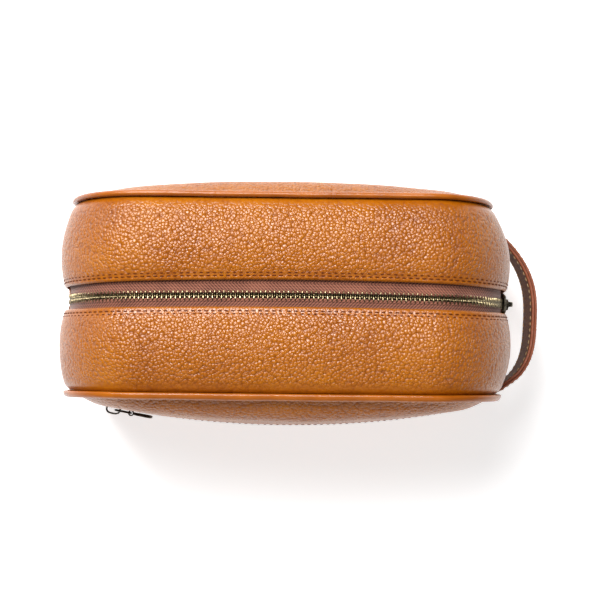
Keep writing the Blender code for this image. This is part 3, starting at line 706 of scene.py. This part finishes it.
RIM = 0.0048  # from the outline in to a panel's edge
PANEL_HALF, PANEL_TOP = HALF_WIDTH - RIM, TOP - RIM
PANEL_TOP_R, PANEL_BASE_R = TOP_R - RIM, BASE_R - RIM


def corner_turn(x, radius):
    """How far a panel's edge has turned in at x, by its corner's arc."""
    over = np.clip(np.abs(x) - (PANEL_HALF - radius), 0, radius)
    return radius - np.sqrt(radius**2 - over**2)


def rim_distance(x, z):
    """Distance inside a panel from its edge."""
    flat = np.minimum(np.minimum(PANEL_HALF - np.abs(x), PANEL_TOP - z), z - RIM)
    for radius, depth in (
        (PANEL_TOP_R, z - (PANEL_TOP - PANEL_TOP_R)),
        (PANEL_BASE_R, RIM + PANEL_BASE_R - z),
    ):
        across = np.abs(x) - (PANEL_HALF - radius)
        inside = (across > 0) & (depth > 0)
        flat = np.where(inside, radius - np.hypot(across, depth), flat)
    return np.clip(flat, 0, None)


def bulge(x, z, height):
    """How far a stuffed panel stands out from its rim; its level section at the pocket's zip is an arc."""
    across = 1 - (PANEL_ARC - np.sqrt(PANEL_ARC**2 - x**2)) / FRONT_BULGE
    up = (z - POCKET_Z) / (TOP - 0.00735 - POCKET_Z)
    down = (POCKET_Z - z) / POCKET_Z
    level = np.where(z > POCKET_Z, 1 - 0.35 * up**2, 1 - 0.5 * down**2)
    inner = np.clip(rim_distance(x, z) - (0.00735 - RIM), 0, None)
    return height * across * level * (1 - (1 - np.clip(inner / 0.012, 0, 1)) ** 2)


def panel_grid(split):
    """Columns and rows of a panel. split adds rows and columns round the pocket's window."""
    turn = np.radians(np.linspace(6, 90, 15))
    corner = PANEL_HALF - PANEL_TOP_R + PANEL_TOP_R * np.sin(turn)
    near = np.linspace(0, PANEL_HALF - PANEL_TOP_R, 27)
    lip = POCKET_HALF + np.array([0.0, 0.0002, 0.0005, 0.001])
    extra = lip if split else np.array([])
    right = np.unique(np.round(np.concatenate([near, corner, extra]), 6))
    right = right[np.concatenate([[True], np.diff(right) > 9e-5])]
    x = np.concatenate([-right[::-1], right[1:]])
    low = RIM + corner_turn(x, PANEL_BASE_R)
    high = PANEL_TOP - corner_turn(x, PANEL_TOP_R)
    bottom, top = POCKET_Z - POCKET_WINDOW, POCKET_Z + POCKET_WINDOW
    ease = (1 - np.cos(np.linspace(0, math.pi, 34))) / 2
    below = low + ease[:, None] * (bottom - low)
    above = top + ease[:26, None] / ease[25] * (high - top)
    lips = np.array([0.0002, 0.0005, 0.001])
    z = np.concatenate([below[:-1], [x * 0 + bottom - d for d in lips[::-1]], [x * 0 + bottom]])
    z = np.sort(z, axis=0)
    middle = np.array([x * 0 + bottom + s * (top - bottom) for s in (0.33, 0.67)])
    upper = np.sort(np.concatenate([[x * 0 + top], [x * 0 + top + d for d in lips], above[1:]]), axis=0)
    hole = (len(z) - 1, len(z) + len(middle))
    return x, np.concatenate([z, middle, upper]), hole


def panel(half, side, height):
    """A stuffed leather panel. The front one has the pocket's window cut in it."""
    split = half == "front"
    x, z, hole = panel_grid(split)
    x = np.broadcast_to(x, z.shape)
    y = PANEL_RIM_Y + bulge(x, z, height)
    spot = places(x, side, z)
    calm = np.clip(rim_distance(x, z) / 0.02, 0, 1)
    if split:
        off = np.maximum(np.abs(x) - POCKET_HALF, np.abs(z - POCKET_Z) - POCKET_WINDOW)
        calm = calm * np.clip(off / 0.015, 0, 1)
        lip = 0.001 - np.sqrt(np.clip(0.001**2 - np.clip(0.001 - np.clip(off, 0, 1), 0, 1) ** 2, 0, None))
        y = y - lip
        y = y - 0.0002 * np.exp(-(((off - STITCH_ROWS[0]) / 0.0006) ** 2))
    y = y + 0.0006 * calm * wobble(spot, 0.075, 9.0 + side)
    outer = drawn_in(np.stack([x, side * y, z], -1))
    inner = drawn_in(np.stack([x, side * (y - LEATHER), z], -1))
    keep = None
    if split:
        columns = x[0]

        def keep(i, j):
            middle = (columns[j] + columns[j + 1]) / 2
            return not (hole[0] <= i < hole[1] and abs(middle) < POCKET_HALF)

    ride(plate(f"{half}_panel_leather", outer, inner, TAN, "leather", keep), "bag", f"{half}_panel")


# ---------------- front pocket

STOP_GAP, STOP_HALF = 0.0015, 0.0031  # a stop's middle past the last tooth, and half its width


def arc_point(along, off, rise):
    """A place over the pocket's level zip: along it, up from its line, and out from the panel's face."""
    along, off, rise = grids(along, off, rise)
    turn = along / PANEL_ARC
    middle = PANEL_ARC - PANEL_RIM_Y - FRONT_BULGE
    radius = PANEL_ARC + rise
    return np.stack([radius * np.sin(turn), middle - radius * np.cos(turn), POCKET_Z + off], -1)


def on_front(x, z, depth):
    """A place behind the front panel's face."""
    x, z, depth = grids(x, z, depth)
    return drawn_in(np.stack([x, -(PANEL_RIM_Y + bulge(x, z, FRONT_BULGE) - depth), z], -1))


def pocket():
    """The pocket's zip, stitches and pouch."""
    a = np.linspace(-POCKET_HALF - 0.002, POCKET_HALF + 0.002, 140)
    last = int(POCKET_CHAIN_END / PITCH)
    for row, side, shift in (("upper", 1, 0.75), ("lower", -1, 0.25)):
        section = np.array(tape_section(0.013))
        off, depth = section[None, :, 0], section[None, :, 1]
        loops = on_front(a[:, None], POCKET_Z + side * off, LEATHER + 0.0007 + depth * TAPE_THICK)
        made = loft(f"pocket_tape_{row}_cloth", loops, TAPE, "zip_tape", weave=tape_weave(a, loops))
        ride(made, "bag", f"pocket_tape_{row}")
        spots = tooth_spots(-last, last, side, lambda at, y, h: arc_point(at, y, h - POCKET_DEPTH), shift)
        made = strewn(f"pocket_teeth_{row}_metal", tooth_template(), spots, DARK, "dark_metal")
        ride(made, "bag", f"pocket_teeth_{row}")
    for end, hand in ENDS:
        at = hand * (POCKET_CHAIN_END + STOP_GAP)

        def place(p):
            return arc_point(at + p[0], p[1], p[2] - POCKET_DEPTH)

        made = clip(f"pocket_stop_{end}_metal", place, DARK, STOP_HALF)
        ride(made, "bag", f"pocket_stop_{end}")
    window_stitches()
    pouch()


def window_stitches():
    """One row of stitches round the pocket's window."""
    row, turn = 0.0024, 0.003
    wide, tall = POCKET_HALF + row, POCKET_WINDOW + row
    corner = np.linspace(0, math.pi / 2, 8)
    arc = np.stack([wide - turn + turn * np.sin(corner), tall - turn + turn * np.cos(corner)], 1)
    right = np.concatenate([arc, (arc * [1, -1])[::-1]])
    outline = np.concatenate([right, (right * [-1, 1])[::-1], right[:1]])
    steps = distance_along(outline)
    fine = np.linspace(0, steps[-1], 500)
    x, z = (np.interp(fine, steps, outline[:, c]) for c in range(2))
    path = on_front(x, POCKET_Z + z, 0.0002)
    normals = np.stack([x / PANEL_ARC, -np.ones_like(x), x * 0], 1)
    spots = spots_along(path, normals, STITCH_PITCH)
    ride(sewn("pocket_window_stitches", spots), "bag")


def pouch():
    """The cloth pocket behind the window: a folded bag whose front is sewn to the lower tape."""
    x = np.linspace(-0.080, 0.080, 41)
    front, back = 0.0029, 0.0069
    path = [(0.112, back), (0.096, back), (0.080, back), (0.060, back), (0.040, back), (0.033, back)]
    path += [(0.031, (front + back) / 2), (0.033, front + 0.0003)]
    path += [(0.045, front), (0.065, front), (0.082, front)]
    z, depth = np.array(path).T
    soft = 0.0004 * wobble(places(x[None, :], 0.0, z[:, None]), 0.04, 2.0)
    outer = on_front(x[None, :], z[:, None], depth[:, None] + soft)
    inner = outer.copy()
    away = unit(np.gradient(np.stack([z, depth], 1), axis=0))
    inner[..., 1] -= CLOTH_THICK * away[:, None, 0]
    inner[..., 2] -= CLOTH_THICK * away[:, None, 1]
    weave = places(x[None, :], z[:, None] + depth[:, None], 0.0)
    ride(plate("pocket_pouch_cloth", outer, inner, CLOTH, "lining", weave=weave), "bag", "pocket_pouch")


# ---------------- linings


def linings():
    """Cloth under the gusset and behind the two panels."""
    for half, side in HALVES:
        for end, hand in ENDS:
            a = hand * np.linspace(0.0, ZIP_END, 90)
            y = np.concatenate([[0.0085], np.linspace(0.0095, 0.0482, 22)])
            nodes = [f"lining_{half}_flap"] if end == "left" else []
            made = lining(f"lining_{half}_{end}_cloth", a, side * y)
            bend(made, half, hand, *nodes)
    a = np.linspace(ZIP_END + 0.0002, 2 * ROUND - ZIP_END - 0.0002, 170)
    ride(lining("lining_base_cloth", a, np.linspace(-0.0484, 0.0484, 45)), "bag", "gusset_lining")
    for half, side, height in (("front", -1, FRONT_BULGE), ("back", 1, BACK_BULGE)):
        x, z, _ = panel_grid(False)
        x = np.broadcast_to(x, z.shape) * 0.978
        z = TOP / 2 + (z - TOP / 2) * 0.964
        spot = places(x, side, z)
        calm = np.clip(rim_distance(x, z) / 0.02 - 0.3, 0, 1)
        y = 0.0490 + 0.40 * bulge(x, z, height) + 0.0007 * calm * (wobble(spot, 0.045, 5.0) - 0.6)
        outer, inner = (drawn_in(np.stack([x, side * (y - deep), z], -1)) for deep in (0.0, 0.0006))
        weave = places(x, z, 0.0)
        made = plate(f"{half}_lining_cloth", outer, inner, CLOTH, "lining", weave=weave)
        ride(made, "bag", f"{half}_lining")


def lining(name, a, y):
    """A slack sheet of cloth under the gusset."""
    rise = -0.0053 - 0.0005 * (1 + wobble(ring(a[:, None], y[None, :], 0.0), 0.035, 7.0))
    outer, inner = ring(a[:, None], y[None, :], rise), ring(a[:, None], y[None, :], rise - CLOTH_THICK)
    weave = places(a[:, None], y[None, :], 0.0)
    return plate(name, outer, inner, CLOTH, "lining", weave=weave)


# ---------------- stops, sliders and pulls


def rounded_box(half_x, half_y, half_z, soft):
    """Points and faces of a box with soft edges."""
    bm = bmesh.new()
    bmesh.ops.create_cube(bm, size=1.0)
    bmesh.ops.scale(bm, vec=(2 * half_x, 2 * half_y, 2 * half_z), verts=bm.verts)
    bmesh.ops.bevel(bm, geom=list(bm.edges), offset=soft, segments=3, profile=0.6, affect="EDGES")
    points = np.array([v.co[:] for v in bm.verts])
    faces = [[v.index for v in f.verts] for f in bm.faces]
    bm.free()
    return points, faces


def clip(name, place, paint, half_y, off_y=0.0):
    """A pressed metal stop: a soft-edged block with a shallow waist."""
    points, faces = rounded_box(0.0011, half_y, 0.0012, 0.0004)
    points[:, 2] *= 1 - 0.18 * np.exp(-((points[:, 1] / 0.0008) ** 2))
    points[:, 1] += off_y
    return piece(name, np.array([place(p) for p in points]), faces, paint, "brass", smooth_angle=35)


def stops():
    """The main zip's stops: one across both rows at the left, and one on each row at the right."""
    for node, hand, half_y, off_y in (
        ("zip_bottom_stop", -1, STOP_HALF, 0.0),
        *((f"zip_top_stop_{half}", 1, 0.0013, side * 0.0018) for half, side in HALVES),
    ):
        at = hand * (CHAIN_END + STOP_GAP)

        def place(p):
            return ring(at + p[0], p[1], CHAIN_RISE + p[2])

        ride(clip(f"{node}_metal", place, BRASS, half_y, off_y), "bag", node)


def bar_loops(path, wide, thick, corners=12, power=3.0, closed=False, taper=None):
    """Sections of a soft rectangular bar round a path of (a, h), as (a, b, h) points."""
    path = np.asarray(path, float)
    ahead = np.roll(path, -1, axis=0) if closed else np.concatenate([path[1:], path[-1:] * 2 - path[-2:-1]])
    behind = np.roll(path, 1, axis=0) if closed else np.concatenate([path[:1] * 2 - path[1:2], path[:-1]])
    run = unit(ahead - behind)
    normal = np.stack([-run[:, 1], run[:, 0]], 1)
    turn = 2 * np.pi * (np.arange(corners) + 0.5) / corners
    c, s = np.cos(turn), np.sin(turn)
    c, s = np.sign(c) * np.abs(c) ** (2 / power), np.sign(s) * np.abs(s) ** (2 / power)
    size = np.ones(len(path)) if taper is None else np.asarray(taper, float)
    b = wide * c[None, :] * size[:, None]
    off = thick * s[None, :] * size[:, None]
    a = path[:, 0:1] + normal[:, 0:1] * off
    h = path[:, 1:2] + normal[:, 1:2] * off
    return np.stack([a, b, h], -1)


def in_frame(axes, origin, points):
    """Places in the bag's frame of points in a slider's."""
    return origin + points @ axes


def slider(name, pull, axes, origin, paint, slot, tab_length):
    """A zip slider and its pull. The rows of axes run along the pull, across, and off the chain."""
    half = 0.0055
    a = half * np.array([-1.0, -0.94, -0.8, -0.55, -0.2, 0.2, 0.45, 0.7, 0.87, 0.96, 1.0])
    wide = np.interp(a, [-half, -0.001, 0.0025, 0.0047, half], [0.0047, 0.0055, 0.0062, 0.0062, 0.0049])
    wide = wide - 0.0006 * np.array([1, 0.4, 0, 0, 0, 0, 0, 0, 0, 0.4, 1.0])
    low = np.array([1, 0.35, 0, 0, 0, 0, 0, 0, 0, 0.35, 1.0])
    for part, sign, lip, plate_in, plate_out, nodes in (
        ("shield", 1, 0.00075, 0.0017, 0.0030, name),
        ("back_plate", -1, -0.0011, -0.00205, -0.0033, f"{name}_back_plate"),
    ):
        rows = []
        for k in range(len(a)):
            w, drop = wide[k], low[k] * 0.00045 * sign
            top = plate_out - drop
            mid = top - 0.0005 * sign
            side = [(w - 0.0002, lip), (w, lip + 0.0003 * sign), (w, mid), (w - 0.0005, top - 0.00012 * sign)]
            side += [(w * 0.55, top), (w * 0.2, top + 0.00008 * sign)]
            right = [(0.0037, plate_in), (0.0037, lip)] + side
            left = [(-b, h) for b, h in reversed(right)]
            rows.append([(a[k], b, h) for b, h in right + left])
        loops = in_frame(axes, origin, np.array(rows))
        ride(loft(f"{name}_{part}", loops, paint, slot, smooth_angle=32), name, nodes)

    arch = [(-0.0037, 0.0029), (-0.0038, 0.0040), (-0.0037, 0.0052), (-0.0031, 0.0061), (-0.0020, 0.0066)]
    arch += [(0.0, 0.0068)] + [(-x, h) for x, h in reversed(arch)]
    loops = bar_loops(arch, 0.0013, 0.0005, power=2.6, taper=[1.25, 1.05, 1, 1, 1, 1.05, 1, 1, 1, 1.05, 1.25])
    made = loft(f"{name}_bail_metal", in_frame(axes, origin, loops), paint, slot, smooth_angle=35)
    ride(made, name, f"{name}_bail")

    near, far, rise = 0.0012, 0.0102, 0.0046
    turn = np.linspace(0, 2 * np.pi, 41)[:-1]
    c, s = np.cos(turn), np.sin(turn)
    length, across = (far - near) / 2, 0.0026
    path = np.stack([np.sign(c) * np.abs(c) ** 0.62 * length, np.sign(s) * np.abs(s) ** 0.62 * across], 1)
    loops = bar_loops(path, 0.00052, 0.00052, corners=10, power=2.2, closed=True)
    loops = np.stack([loops[..., 0] + (near + far) / 2, loops[..., 2], loops[..., 1] + rise], -1)
    made = loft(f"{pull}_link_metal", in_frame(axes, origin, loops), paint, slot, closed=True)
    ride(made, pull, f"{pull}_link")
    pull_tab(f"{pull}_tab_metal", pull, axes, origin, paint, slot, far, rise, tab_length)


def pull_tab(name, pull, axes, origin, paint, slot, eye, rise, length):
    """A pressed tab with a rolled eye round the link's bar, a raised rim and a sunk face."""
    neck, end = eye + 0.0012, eye + 0.0012 + length
    knots = [neck, neck + 0.0012, neck + 0.0028, end - 0.0042, end - 0.0015, end - 0.0004, end]
    widths = [0.0014, 0.0018, 0.0029, 0.0040, 0.0035, 0.0022, 0.0012]
    a = np.unique(np.concatenate([np.linspace(neck, end, 22), knots]))
    wide = np.interp(a, knots, widths)
    ends = np.clip(np.minimum(a - neck, end - a) / 0.0007, 0, 1)
    rows = []
    for k in range(len(a)):
        t = 0.00075 * math.sqrt(max(ends[k] * (2 - ends[k]), 0.12))
        sunk = 0.00028 * float(np.clip(min(a[k] - neck - 0.0030, end - 0.0016 - a[k]) / 0.0006, 0, 1))
        w = wide[k]
        top = [(w, 0), (w, t * 0.6), (w * 0.93, t), (w * 0.78, t), (w * 0.70, t - sunk), (w * 0.2, t - sunk)]
        top += [(-b, h) for b, h in reversed(top)]
        under = [(-b, -h) for b, h in top[1:-1]]
        rows.append([(a[k], b, rise + h) for b, h in top + under])
    loops = in_frame(axes, origin, np.array(rows))
    ride(loft(name, loops, paint, slot, smooth_angle=35), pull, f"{pull}_tab")
    turn = np.linspace(0, 2 * np.pi, 25)[:-1]
    path = np.stack([eye + 0.00135 * np.cos(turn), rise + 0.00135 * np.sin(turn)], 1)
    eye_loops = bar_loops(path, 0.0014, 0.0004, closed=True)
    made = loft(f"{name}_eye", in_frame(axes, origin, eye_loops), paint, slot, closed=True)
    ride(made, pull)


PULL_ALONG, PULL_OFF = 0.0012, 0.0046  # from a slider's middle to its pull's pivot
POCKET_SLIDER_X = -0.096


def sliders():
    """The main slider at the zip's right end, and the pocket's at its left end."""
    pivot = np.array(JOINTS["main_pull_swing"]["pos_m"])
    axes = np.array([[0, 0, -1], [0, 1, 0], [1, 0, 0]], float)
    origin = pivot - PULL_ALONG * axes[0] - PULL_OFF * axes[2]
    slider("main_slider", "main_pull", axes, origin, BRASS_DARK, "brass", 0.0165)
    pivot = np.array(JOINTS["pocket_pull_swing"]["pos_m"])
    x = POCKET_SLIDER_X
    out = np.array([x, -math.sqrt(PANEL_ARC**2 - x**2), 0.0]) / PANEL_ARC
    along = np.array([-out[1], out[0], 0.0])
    axes = np.array([along, np.cross(out, along), out])
    origin = pivot - PULL_ALONG * along - PULL_OFF * out
    slider("pocket_slider", "pocket_pull", axes, origin, DARK, "dark_metal", 0.011)


# ---------------- strap

STRAP_X, STRAP_OUT, STRAP_CROWN, STRAP_END = 0.1242, 0.0197, -0.008, 0.049
STRAP_LANDING = (0.1259, 0.0405)
STRAP_Z, STRAP_WIDE, STRAP_THICK = 0.055, 0.0210, 0.0033
STRAP_LEAN = math.tan(math.radians(6))
STRAP_TIP = 0.0487  # half the strap's length across the bag
HELD_FROM, HELD_FADE = 0.0375, 0.0085  # where the strap starts to follow the drawn-in gusset
STRAP_STITCH_Z = 0.0080


def strap_line(y):
    """The strap's middle line in plan, an arch whose crown is nearer the front."""
    x, landing = STRAP_LANDING
    crown = STRAP_X + STRAP_OUT
    front = crown - STRAP_OUT * np.clip((STRAP_CROWN - y) / (STRAP_END + STRAP_CROWN), 0, 1.2) ** 3.0
    share = np.clip((y - STRAP_CROWN) / (landing - STRAP_CROWN), 0, 1)
    sewn = np.clip((y - landing) / (STRAP_END - landing), 0, 1)
    back = crown - (crown - x) * share**2.8 - (x - STRAP_X) * sewn
    return np.where(y > STRAP_CROWN, back, front)


def strap_point(y, z, layer):
    """A place on the strap: z from its middle, and layer out from its middle surface."""
    y, z, layer = grids(y, z, layer)
    slope = (strap_line(y + 1e-4) - strap_line(y - 1e-4)) / 2e-4
    steep = np.hypot(1, slope)
    lift = (strap_line(y) - STRAP_X) / STRAP_OUT
    soft = 0.0004 * np.sin(y * 95 + 0.6) * lift
    x = strap_line(y) + layer / steep + STRAP_LEAN * z * lift + soft
    point = np.stack([x, y - layer * slope / steep, STRAP_Z + z], -1)
    held = np.clip((np.abs(y) - HELD_FROM) / HELD_FADE, 0, 1)[..., None]
    held = held * held * (3 - 2 * held)
    return point + held * (drawn_in(point) - point)


def strap_section(low, high):
    """(z, layer) round one ply, a soft face with rounded edges, and the sides whose edge is painted."""
    half = STRAP_WIDE / 2
    face = [(half * t, 1.0 - 0.10 * t**8) for t in np.linspace(-0.955, 0.955, 22)]
    right = [(half * 0.985, 0.80), (half * 1.0, 0.45), (half * 0.995, 0.10)]
    flat = [(half * t, 0.0) for t in (0.9, 0.3, -0.3, -0.9)]
    left = [(-z, layer) for z, layer in reversed(right)]
    section = np.array(face + right + flat + left)
    section[:, 1] = low + (high - low) * section[:, 1]
    first_edge = range(len(face) - 1, len(face) + len(right) + 1)
    other_edge = range(len(section) - len(left) - 1, len(section))
    return section, {*first_edge, *other_edge}


def strap():
    """Two plies from each sewn end to the middle, with a row of stitches along both edges."""
    middle = STRAP_CROWN / 2
    for half, start, end, fix, free in (
        ("front", -STRAP_TIP, middle, -0.0485, -0.0345),
        ("back", middle, STRAP_TIP, 0.0420, 0.0260),
    ):
        y = np.linspace(start, end, 70)
        for ply, low, high, paint, slot in (
            ("outer", 0.00005, STRAP_THICK / 2, TAN, "leather"),
            ("backing", -0.00005, -STRAP_THICK / 2, STRAP_BACK, "strap_backing"),
        ):
            section, painted = strap_section(low, high)
            loops = strap_point(y[:, None], section[None, :, 0], section[None, :, 1])
            made = loft(
                f"strap_{half}_{ply}_leather", loops, [paint, PAINTED], slot, pick=lambda k: int(k in painted)
            )
            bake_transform(made)
            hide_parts(f"strap_{ply}", f"strap_end_{half}")
            for edge, z in (("upper", STRAP_STITCH_Z), ("lower", -STRAP_STITCH_Z)):
                fine = np.linspace(start + 0.001, end - 0.0002, 200)
                path = strap_point(fine, z, high + math.copysign(0.00002, high))
                normals = strap_point(fine, z, high + math.copysign(0.001, high)) - path
                spots = spots_along(path, normals, STITCH_PITCH)
                made = sewn(f"strap_{half}_{ply}_{edge}_stitches", spots, STRAP_THREAD)
                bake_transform(made)


def carried_over():
    """The base board keeps the model's own shape."""
    board = Paint("stiffener_board", (0.12, 0.10, 0.085), 0.85)
    fibres = board.noise(900.0, 5.0, board.place("position"))
    board.link(board.ramp(fibres, (0.3, 0.06), (0.7, 0.16)), "Base Color")
    node = frame["nodes"]["base_board"]
    node.data.materials.clear()
    node.data.materials.append(board.material)


WORLD_LIGHT = 0.10
LAMPS = (  # name, place, size, power
    ("key", (-0.32, 0.60, 1.10), (0.66, 0.78), 27.5),
    ("fill", (0.05, -0.85, 0.90), (1.0, 0.7), 5.0),
)


def floor_and_light():
    """A wide pale floor that glows a little, a dim world, a soft key lamp behind and a fill in front."""
    half, low = 12.0, -0.0002
    glow = {"Specular IOR Level": 0.2, "Emission Color": (1, 1, 1, 1), "Emission Strength": 0.53}
    pale = Paint("floor", (0.85, 0.85, 0.85), 0.95, **glow)
    corners = [(-half, -half, low), (half, -half, low), (half, half, low), (-half, half, low)]
    piece("floor", corners, [[0, 1, 2, 3]], pale.material, "leather")
    world = bpy.data.worlds.new("studio")
    world.use_nodes = True
    world.node_tree.nodes["Background"].inputs["Color"].default_value = (0.95, 0.97, 1.0, 1.0)
    world.node_tree.nodes["Background"].inputs["Strength"].default_value = WORLD_LIGHT
    bpy.context.scene.world = world
    for name, place, size, power in LAMPS:
        lamp = bpy.data.lights.new(name, "AREA")
        lamp.shape, lamp.size, lamp.size_y, lamp.energy = "RECTANGLE", *size, power
        made = bpy.data.objects.new(name, lamp)
        made.location = place
        made.rotation_euler = (Vector((0, 0, 0.08)) - Vector(place)).to_track_quat("-Z", "Y").to_euler()
        made.visible_glossy = name == "key"
        bpy.context.scene.collection.objects.link(made)
    bpy.context.scene.view_settings.view_transform = "Standard"


def camera():
    """From nearly straight above, tilted a little to the front."""
    lens, distance = 90.7, 0.80
    tilt, roll = math.radians(2.6), math.radians(0.6)
    target = Vector((0.0080, -0.0008, TOP))
    cam = bpy.data.cameras.new("camera")
    cam.lens, cam.sensor_width = lens, 36.0
    made = bpy.data.objects.new("camera", cam)
    made.matrix_world = (
        Matrix.Translation(target)
        @ Matrix.Rotation(tilt, 4, "X")
        @ Matrix.Rotation(roll, 4, "Z")
        @ Matrix.Translation((0, 0, distance))
    )
    bpy.context.scene.collection.objects.link(made)
    bpy.context.scene.camera = made


gusset_strips()
zip_teeth()
base_gusset()
side_seams()
piping()
panel("front", -1, FRONT_BULGE)
panel("back", 1, BACK_BULGE)
pocket()
linings()
stops()
sliders()
strap()
carried_over()
floor_and_light()
camera()
